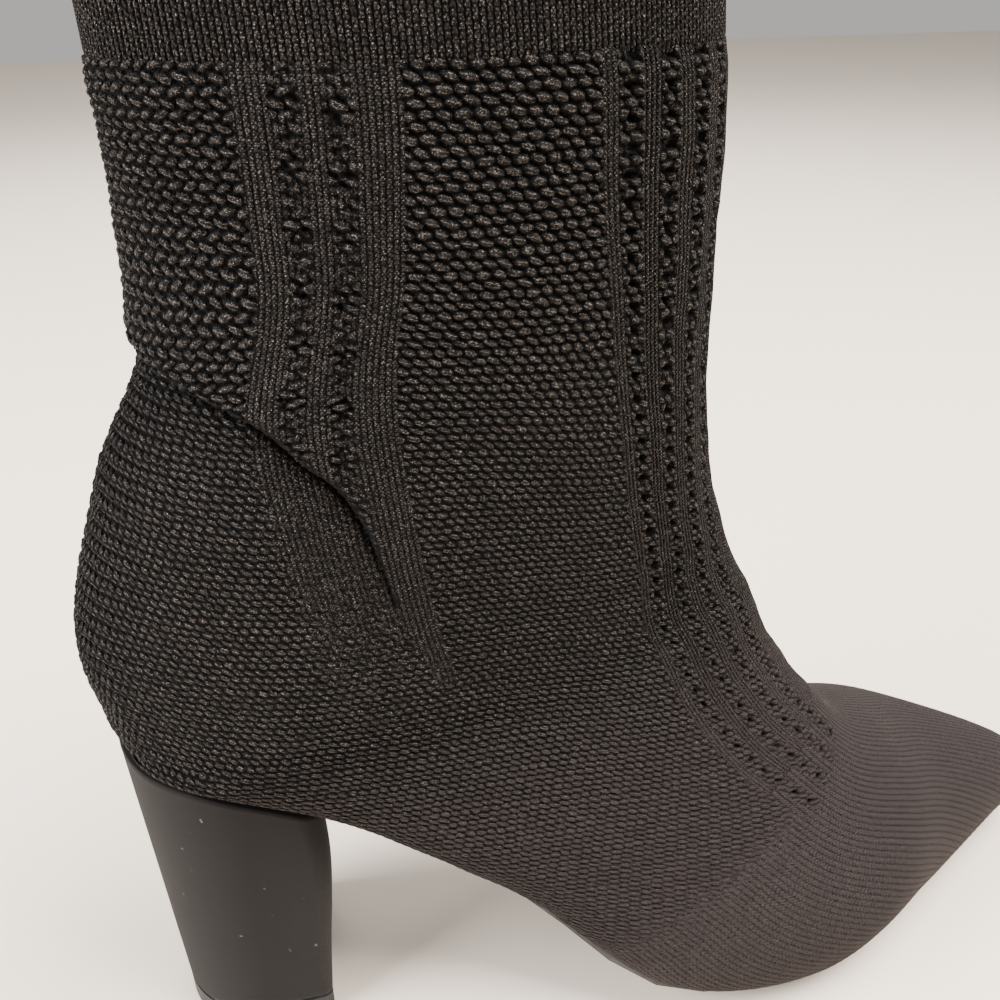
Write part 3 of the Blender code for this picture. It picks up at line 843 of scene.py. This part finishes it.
def microfibre_finish(c):
    """Brushed wrap: a fine nap with lint, faint pressed marks, and the corners of the breast a little grey, partly wear
    and partly a painted highlight.
    """
    finish, tree, shader = material("black_brushed_microfibre")
    nap = noise(tree, 3200.0, 3.0, 0.7)
    cloud = noise(tree, 38.0, 4.0, 0.6)
    specks = noise(tree, 620.0, 1.0, 0.4)
    base = mix(tree, ramp(tree, cloud, 0.3, 0.75), tuple(0.85 * v for v in c.microfibre),
               tuple(1.2 * v for v in c.microfibre))
    base = mix(tree, maths(tree, "MULTIPLY", ramp(tree, nap, 0.35, 0.8), 0.35), base,
               tuple(1.8 * v for v in c.microfibre))
    # painted highlight and wear on the corners of the breast, broken up by the nap
    edge_wear_and_highlight = maths(tree, "MULTIPLY", layer(tree, "edge_wear_and_highlight"), ramp(tree, nap, 0.3, 0.7))
    base = mix(tree, edge_wear_and_highlight, base, tuple(7.0 * v for v in c.microfibre))
    base = mix(tree, maths(tree, "MULTIPLY", ramp(tree, specks, 0.77, 0.81), 0.35), base, (0.22, 0.21, 0.20))
    join(tree, base, shader.inputs["Base Color"])
    shader.inputs["Roughness"].default_value = 0.92
    shader.inputs["Specular IOR Level"].default_value = 0.12
    shader.inputs["Sheen Weight"].default_value = 0.05
    shader.inputs["Sheen Roughness"].default_value = 0.5
    join(tree, bump(tree, nap, 0.00012, 0.8), shader.inputs["Normal"])
    return finish


def insole_finish(c):
    finish, tree, shader = material("insole_cloth")
    weave_grain = noise(tree, 1500.0, 2.0, 0.5)
    cloud = noise(tree, 30.0, 3.0, 0.6)
    base = mix(tree, ramp(tree, cloud, 0.3, 0.8), tuple(c.insole), tuple(1.5 * v for v in c.insole))
    join(tree, base, shader.inputs["Base Color"])
    shader.inputs["Roughness"].default_value = 0.8
    join(tree, bump(tree, weave_grain, 0.00015, 0.6), shader.inputs["Normal"])
    return finish


class BOOT_OT_knit_cuff(bpy.types.Operator):
    """Knits the ribbed cuff, turned over at the collar"""
    bl_idname = "boot.knit_cuff"
    bl_label = "Ribbed cuff"
    WALE_COLUMNS = 4
    RING_SPACING = 0.0009
    TURN_RINGS = 7
    INSIDE_DEPTH = 0.012
    RIB_HEIGHT = 0.00040
    UNDER = 0.05
    COURSE = 0.00115

    def execute(self, context):
        b, k = context.scene.boot_sizes, context.scene.boot_knit
        places = places_at(b, 0, CUFF_EDGE + self.UNDER, self.RING_SPACING)
        w = weave(b, places, k.cuff_wales * self.WALE_COLUMNS, plain=True)
        counts = w.wale / SHAFT_HALF * k.cuff_wales
        height = self.RIB_HEIGHT * (rib(counts) - 0.4) - b.cuff_step
        height -= 0.0006 * fade(w.hoop, CUFF_EDGE, CUFF_EDGE + self.UNDER)[:, None]
        outer = w.points + w.out * height[..., None]
        # over the collar: a half turn of the wall's thickness, then down inside
        turn = b.wall / 2
        rise = np.array([0.0, 0.0, 1.0])
        over = []
        for t in np.linspace(0, math.pi, self.TURN_RINGS)[1:]:
            middle = w.points[0] - w.out[0] * (b.cuff_step + turn - 0.0002)
            lift = w.out[0] * height[0][:, None] + w.out[0] * (b.cuff_step + 0.0)
            over.append(middle + w.out[0] * turn * math.cos(t) + rise * turn * math.sin(t)
                        + lift * math.cos(t))
        inside = []
        for ring in range(1, int(self.INSIDE_DEPTH / self.RING_SPACING)):
            inside.append(over[-1] + w.points[ring] - w.points[0])
        points = np.concatenate([np.array(inside[::-1]), np.array(over[::-1]), outer])
        extra = len(points) - len(outer)
        rings = len(points)
        hoop = np.concatenate([np.zeros(extra), w.hoop])
        normals = outward(points, hoop)
        shape = points.shape[:2]
        counts = np.broadcast_to(counts[0], shape)
        course = np.arange(rings)[:, None] * self.RING_SPACING / self.COURSE
        layers = plain_layers(shape, counts, course, 0.0)
        faces = quads(rings, shape[1], np.ones(rings, bool))
        piece = surface("upper_cuff", points, normals, faces, layers, bpy.data.materials["black_knit_yarn"])
        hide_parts("upper")
        return {"FINISHED"}


class BOOT_OT_knit_upper(bpy.types.Operator):
    """Knits the shaft, the heel and the foot down to the toe"""
    bl_idname = "boot.knit_upper"
    bl_label = "Knitted upper"
    BANDS = ("upper_shaft", "upper_ankle", "upper_heel", "upper_vamp")

    def execute(self, context):
        b, k = context.scene.boot_sizes, context.scene.boot_knit
        finish = knit_finish(context.scene.boot_colours)
        places = places_at(b, CUFF_EDGE, TOE_START, k.course)
        w = weave(b, places, k.columns)
        height, layers = stitch_relief(b, k, w)
        form, crease_shade = folds(b, w)
        height += form
        # painted shade in the crease of the fold over the heel
        layers["hole_shade"] = np.maximum(layers["hole_shade"], 0.97 * crease_shade)
        # the toe yarn's own colour, and painted light that lightens the heel and foot towards the toe
        layers["toe_tint_and_light"] = fade(w.hoop[:, None] + 0 * w.away, 7.0, 12.0)
        cuts = np.linspace(0, len(places) - 1, len(self.BANDS) + 1).astype(int)
        for name, first, last in zip(self.BANDS, cuts[:-1], cuts[1:]):
            build_knit(name, b, w, height, layers, finish, slice(first, last + 1))
        return {"FINISHED"}


class BOOT_OT_knit_toe(bpy.types.Operator):
    """Knits the plain ribbed toe"""
    bl_idname = "boot.knit_toe"
    bl_label = "Ribbed toe"
    WALE_COLUMNS = 4
    RING_SPACING = 0.0009
    UNDER = 0.12
    RIB_HEIGHT = 0.00022
    COURSE = 0.0012
    FANNING = 0.20              # how fast the lowest ribs run down to the sole

    def execute(self, context):
        b, k = context.scene.boot_sizes, context.scene.boot_knit
        places = places_at(b, TOE_START - self.UNDER, TIP - 0.004, self.RING_SPACING)
        spacing = k.toe_wale / self.WALE_COLUMNS
        widest = half_hoops(b, [TOE_START - self.UNDER])[3][0, -1]
        columns = int(math.ceil(widest / spacing))
        start = np.interp(TOE_START, *distance_down(b))
        ahead = np.interp(places, *distance_down(b))[:, None] - start
        lines = spacing * np.arange(columns + 1)[None, :]
        w = weave(b, places, columns, fan=lines + ahead * self.FANNING * (lines / widest) ** 1.5)
        lines = np.concatenate([lines[:, ::-1], lines[:, 1:]], axis=1) + 0 * w.away
        away = np.abs(w.away)
        half = w.half[:, None] + 0 * away
        ribs = rib(lines / k.toe_wale)
        under = 1 - fade(ahead + 0 * away, -0.0026, -0.0010)
        edge = fade(half - away, 0.0008, 0.006)
        height = self.RIB_HEIGHT * (ribs - 0.6) * edge - 0.0006 * under
        points = w.points + w.out * height[..., None]
        normals = outward(w.points, w.hoop)
        hoop = w.hoop[:, None] + 0 * away
        # the toe's own lighter colour and painted light towards its tip, and painted shade along its edge at the sole
        layers = plain_layers(away.shape, lines / k.toe_wale, ahead / self.COURSE, fade(hoop, 7.0, 12.0),
                              0.35 * (1 - edge))
        faces = quads(points.shape[0], points.shape[1], np.zeros(len(points), bool))
        flat = points.reshape(-1, 3)
        first, second = flat[faces[:, 0]], flat[faces[:, 3]]
        third, fourth = flat[faces[:, 1]], flat[faces[:, 2]]
        gone = (np.linalg.norm(first - second, axis=1) < 1e-7) & (np.linalg.norm(third - fourth, axis=1) < 1e-7)
        piece = surface("upper_toe", points, normals, faces[~gone], layers,
                        bpy.data.materials["black_knit_yarn"])
        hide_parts("upper")
        return {"FINISHED"}


class BOOT_OT_line_inside(bpy.types.Operator):
    """Adds the inner side of the knit"""
    bl_idname = "boot.line_inside"
    bl_label = "Inside of the knit"

    def execute(self, context):
        b, k = context.scene.boot_sizes, context.scene.boot_knit
        places = places_at(b, 0.2, TIP - 0.25, 0.002)
        w = weave(b, places, 60)
        points = w.points - w.out * b.wall
        shape = points.shape[:2]
        layers = plain_layers(shape, w.wale / k.wale, w.down[:, None] / k.wale, 0.0)
        faces = quads(shape[0], shape[1], w.hoop <= CORNER)[:, ::-1]
        piece = surface("upper_lining", points, -w.out, faces, layers,
                        bpy.data.materials["black_knit_yarn"])
        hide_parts("upper")
        return {"FINISHED"}


class BOOT_OT_finish_sole(bpy.types.Operator):
    """Gives the sole, the insole and the heel their finishes"""
    bl_idname = "boot.finish_sole"
    bl_label = "Sole and heel"

    def execute(self, context):
        c = context.scene.boot_colours
        rubber = rubber_finish(c)
        for name in ("outsole", "heel_tip"):
            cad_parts[name].material_slots[0].material = rubber
        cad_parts["insole"].material_slots[0].material = insole_finish(c)
        return {"FINISHED"}


class BOOT_OT_wrap_heel(bpy.types.Operator):
    """Wraps the block heel"""
    bl_idname = "boot.wrap_heel"
    bl_label = "Wrapped heel"
    BACK_STEPS, CORNER_STEPS, BREAST_STEPS = 40, 10, 10
    LEVELS = 48
    ROUNDING = 0.0008

    def outline(self, h, level):
        """Half the outline at a level, from the back round to the middle of the breast."""
        spread = 0.08 * min(1, level / 0.08, (1 - level) / 0.08)
        near = np.clip(level + spread * np.linspace(-1, 1, 5), 0, 1)
        table = np.array(HEEL_LEVELS).T
        share = np.interp(near, table[0], table[1]).mean()
        corner = np.interp(near, table[0], table[2]).mean()
        back = h.back + level * (h.rest_back - h.back)
        length = h.top_length + share * (h.rest_length - h.top_length)
        half = (h.top_width + level * (h.rest_width - h.top_width)) / 2
        front = back + length
        a = np.linspace(0, math.pi / 2, self.BACK_STEPS + 1)
        x = [back + half * (1 - np.cos(a))]
        y = [half * np.sin(a) ** h.fullness]
        a = np.linspace(0, math.pi / 2, self.CORNER_STEPS + 1)
        x.append(front - corner + corner * np.sin(a))
        y.append(half - corner + corner * np.cos(a))
        inward = np.linspace(1, 0, self.BREAST_STEPS + 1)[1:]
        x.append(front - h.hollow * (1 - inward ** 2))
        y.append((half - corner) * inward)
        return np.concatenate(x), np.concatenate(y), back, length, half

    def execute(self, context):
        b, h = context.scene.boot_sizes, context.scene.boot_heel
        sole = sections(b, np.linspace(CORNER, TIP - 0.5, 300))
        foot = h.tip + b.gap
        turned = [(0.0, 3 * self.ROUNDING, 0.0), (0.0, self.ROUNDING, 0.0), (0.0, 0.3 * self.ROUNDING, 0.3)]
        steps = [(level, 0.0, 1.0) for level in np.linspace(0, 1, self.LEVELS)]
        steps = turned + steps + [(1 - level, inset, -drop) for level, inset, drop in turned[::-1]]
        rings, edge_wear_and_highlight = [], []
        for number, (level, inset, drop) in enumerate(steps):
            x, y, back, length, half = self.outline(h, level)
            middle = back + length / 2
            x = middle + (x - middle) * (1 - inset / (length / 2))
            y = y * (1 - inset / half)
            top = np.interp(x, sole[:, 0], sole[:, 1]) - h.seat_gap
            fall = self.ROUNDING * (1 - abs(drop) if number < len(turned) or number >= len(steps) - len(turned) else 0)
            z = top + level * (foot - top)
            if number == len(turned):
                z = z - self.ROUNDING
            elif number == len(turned) + self.LEVELS - 1:
                z = z + self.ROUNDING
            elif 0 < abs(drop) < 1:
                z = z - self.ROUNDING * 0.3 * np.sign(drop)
            rings.append(np.stack([np.concatenate([x, x[-2:0:-1]]) - b.rest_centre,
                                   np.concatenate([-y, y[-2:0:-1]]), np.concatenate([z, z[-2:0:-1]])], axis=-1))
            # painted highlight, partly wear: the corners of the breast turn grey, more so lower down the block
            edge = np.zeros(len(x))
            first = self.BACK_STEPS
            edge[first:first + self.CORNER_STEPS + 1] = np.sin(np.linspace(0, math.pi, self.CORNER_STEPS + 1))
            edge_wear_and_highlight.append(np.concatenate([edge, edge[-2:0:-1]]) * fade(level, 0.1, 0.5) * 0.8)
        count, around = len(rings), len(rings[0])
        points = np.concatenate(rings)
        faces = []
        for ring in range(count - 1):
            for k in range(around):
                after = (k + 1) % around
                faces.append((ring * around + k, ring * around + after,
                              (ring + 1) * around + after, (ring + 1) * around + k))
        half = around // 2
        for start, order in ((0, -1), ((count - 1) * around, 1)):
            for k in range(half):
                corners = [start + k, start + k + 1, start + (around - k - 1) % around, start + (around - k) % around]
                corners = list(dict.fromkeys(corners))
                faces.append(tuple(corners[::order]))
        mesh = bpy.data.meshes.new("heel_wrap")
        mesh.from_pydata(points.tolist(), [], faces)
        mesh.polygons.foreach_set("use_smooth", np.ones(len(mesh.polygons), bool))
        mesh.set_sharp_from_angle(angle=0.7)
        mesh.attributes.new("edge_wear_and_highlight", "FLOAT", "POINT").data.foreach_set("value", np.concatenate(edge_wear_and_highlight).astype(np.float32))
        mesh.materials.append(microfibre_finish(context.scene.boot_colours))
        piece = bpy.data.objects.new("heel_wrap", mesh)
        context.scene.collection.objects.link(piece)
        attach(piece, BODY)
        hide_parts("heel_block")
        return {"FINISHED"}


class BOOT_OT_set_stage(bpy.types.Operator):
    """Sets the floor, the lights and the camera"""
    bl_idname = "boot.set_stage"
    bl_label = "Stage"
    FLOOR_SIZE = 6.0
    CAMERA_AT = (0.02435, -0.1853, 0.2300)
    CAMERA_TURN = 0.221
    CAMERA_DOWN = 0.495
    CAMERA_ROLL = 0.016
    FOCAL_SHARE = 1.0017

    def execute(self, context):
        c = context.scene.boot_colours
        half = self.FLOOR_SIZE / 2
        mesh = bpy.data.meshes.new("floor")
        mesh.from_pydata([(-half, -half, 0), (half, -half, 0), (half, half, 0), (-half, half, 0)], [], [(0, 1, 2, 3)])
        floor = bpy.data.objects.new("floor", mesh)
        context.scene.collection.objects.link(floor)
        finish, tree, shader = material("pale_floor")
        shader.inputs["Base Color"].default_value = (*c.floor, 1.0)
        shader.inputs["Roughness"].default_value = 0.75
        mesh.materials.append(finish)

        world = bpy.data.worlds.new("studio")
        context.scene.world = world
        world.use_nodes = True
        sky = world.node_tree.nodes["Background"]
        sky.inputs["Color"].default_value = (1.0, 0.985, 0.96, 1.0)
        sky.inputs["Strength"].default_value = 0.50
        lights = (
            ("key", (0.66, -0.24, 1.29), 0.9, 76.0, (1.0, 0.95, 0.90)),
            ("side", (-1.0, -0.2, 0.6), 0.8, 48.0, (1.0, 0.98, 0.97)),
            ("back", (0.1, 0.9, 1.0), 1.0, 12.0, (1.0, 0.98, 0.95)),
        )
        for name, at, size, power, colour in lights:
            data = bpy.data.lights.new(name, "AREA")
            data.shape = "SQUARE"
            data.size = size
            data.energy = power
            data.color = colour
            lamp = bpy.data.objects.new(name, data)
            lamp.location = at
            lamp.rotation_euler = (Vector((0.08, 0, 0.1)) - Vector(at)).to_track_quat("-Z", "Y").to_euler()
            context.scene.collection.objects.link(lamp)

        data = bpy.data.cameras.new("camera")
        data.sensor_width = 36.0
        data.lens = 36.0 * self.FOCAL_SHARE
        data.clip_start = 0.01
        camera = bpy.data.objects.new("camera", data)
        turn, tilt, roll = self.CAMERA_TURN, self.CAMERA_DOWN, self.CAMERA_ROLL
        ahead = Vector((math.sin(turn) * math.cos(tilt), math.cos(turn) * math.cos(tilt), -math.sin(tilt)))
        right = Vector((math.cos(turn), -math.sin(turn), 0))
        down = ahead.cross(right)
        right, down = (math.cos(roll) * right + math.sin(roll) * down, math.cos(roll) * down - math.sin(roll) * right)
        camera.matrix_world = Matrix((
            (right.x, -down.x, -ahead.x, self.CAMERA_AT[0]),
            (right.y, -down.y, -ahead.y, self.CAMERA_AT[1]),
            (right.z, -down.z, -ahead.z, self.CAMERA_AT[2]),
            (0, 0, 0, 1)))
        context.scene.collection.objects.link(camera)
        context.scene.camera = camera
        return {"FINISHED"}


class BOOT_PT_panel(bpy.types.Panel):
    """Lists the steps that dress the boot"""
    bl_idname = "BOOT_PT_panel"
    bl_label = "Knitted ankle boot"
    bl_space_type = "VIEW_3D"
    bl_region_type = "UI"
    bl_category = "Boot"

    def draw(self, context):
        column = self.layout.column()
        for step in STEPS:
            column.operator(step.bl_idname)


STEPS = (BOOT_OT_knit_upper, BOOT_OT_knit_cuff, BOOT_OT_knit_toe, BOOT_OT_line_inside,
         BOOT_OT_finish_sole, BOOT_OT_wrap_heel, BOOT_OT_set_stage)
SETTINGS = (("boot_sizes", BootSizes), ("boot_heel", HeelSizes), ("boot_knit", KnitSettings),
            ("boot_colours", BootColours))
CLASSES = tuple(group for _, group in SETTINGS) + STEPS + (BOOT_PT_panel,)


def register():
    for cls in CLASSES:
        bpy.utils.register_class(cls)
    for name, group in SETTINGS:
        setattr(bpy.types.Scene, name, PointerProperty(type=group))


def unregister():
    for name, _ in SETTINGS:
        delattr(bpy.types.Scene, name)
    for cls in reversed(CLASSES):
        bpy.utils.unregister_class(cls)


def main():
    register()
    for step in STEPS:
        group, name = step.bl_idname.split(".")
        getattr(getattr(bpy.ops, group), name)()


if __name__ == "__main__":
    main()
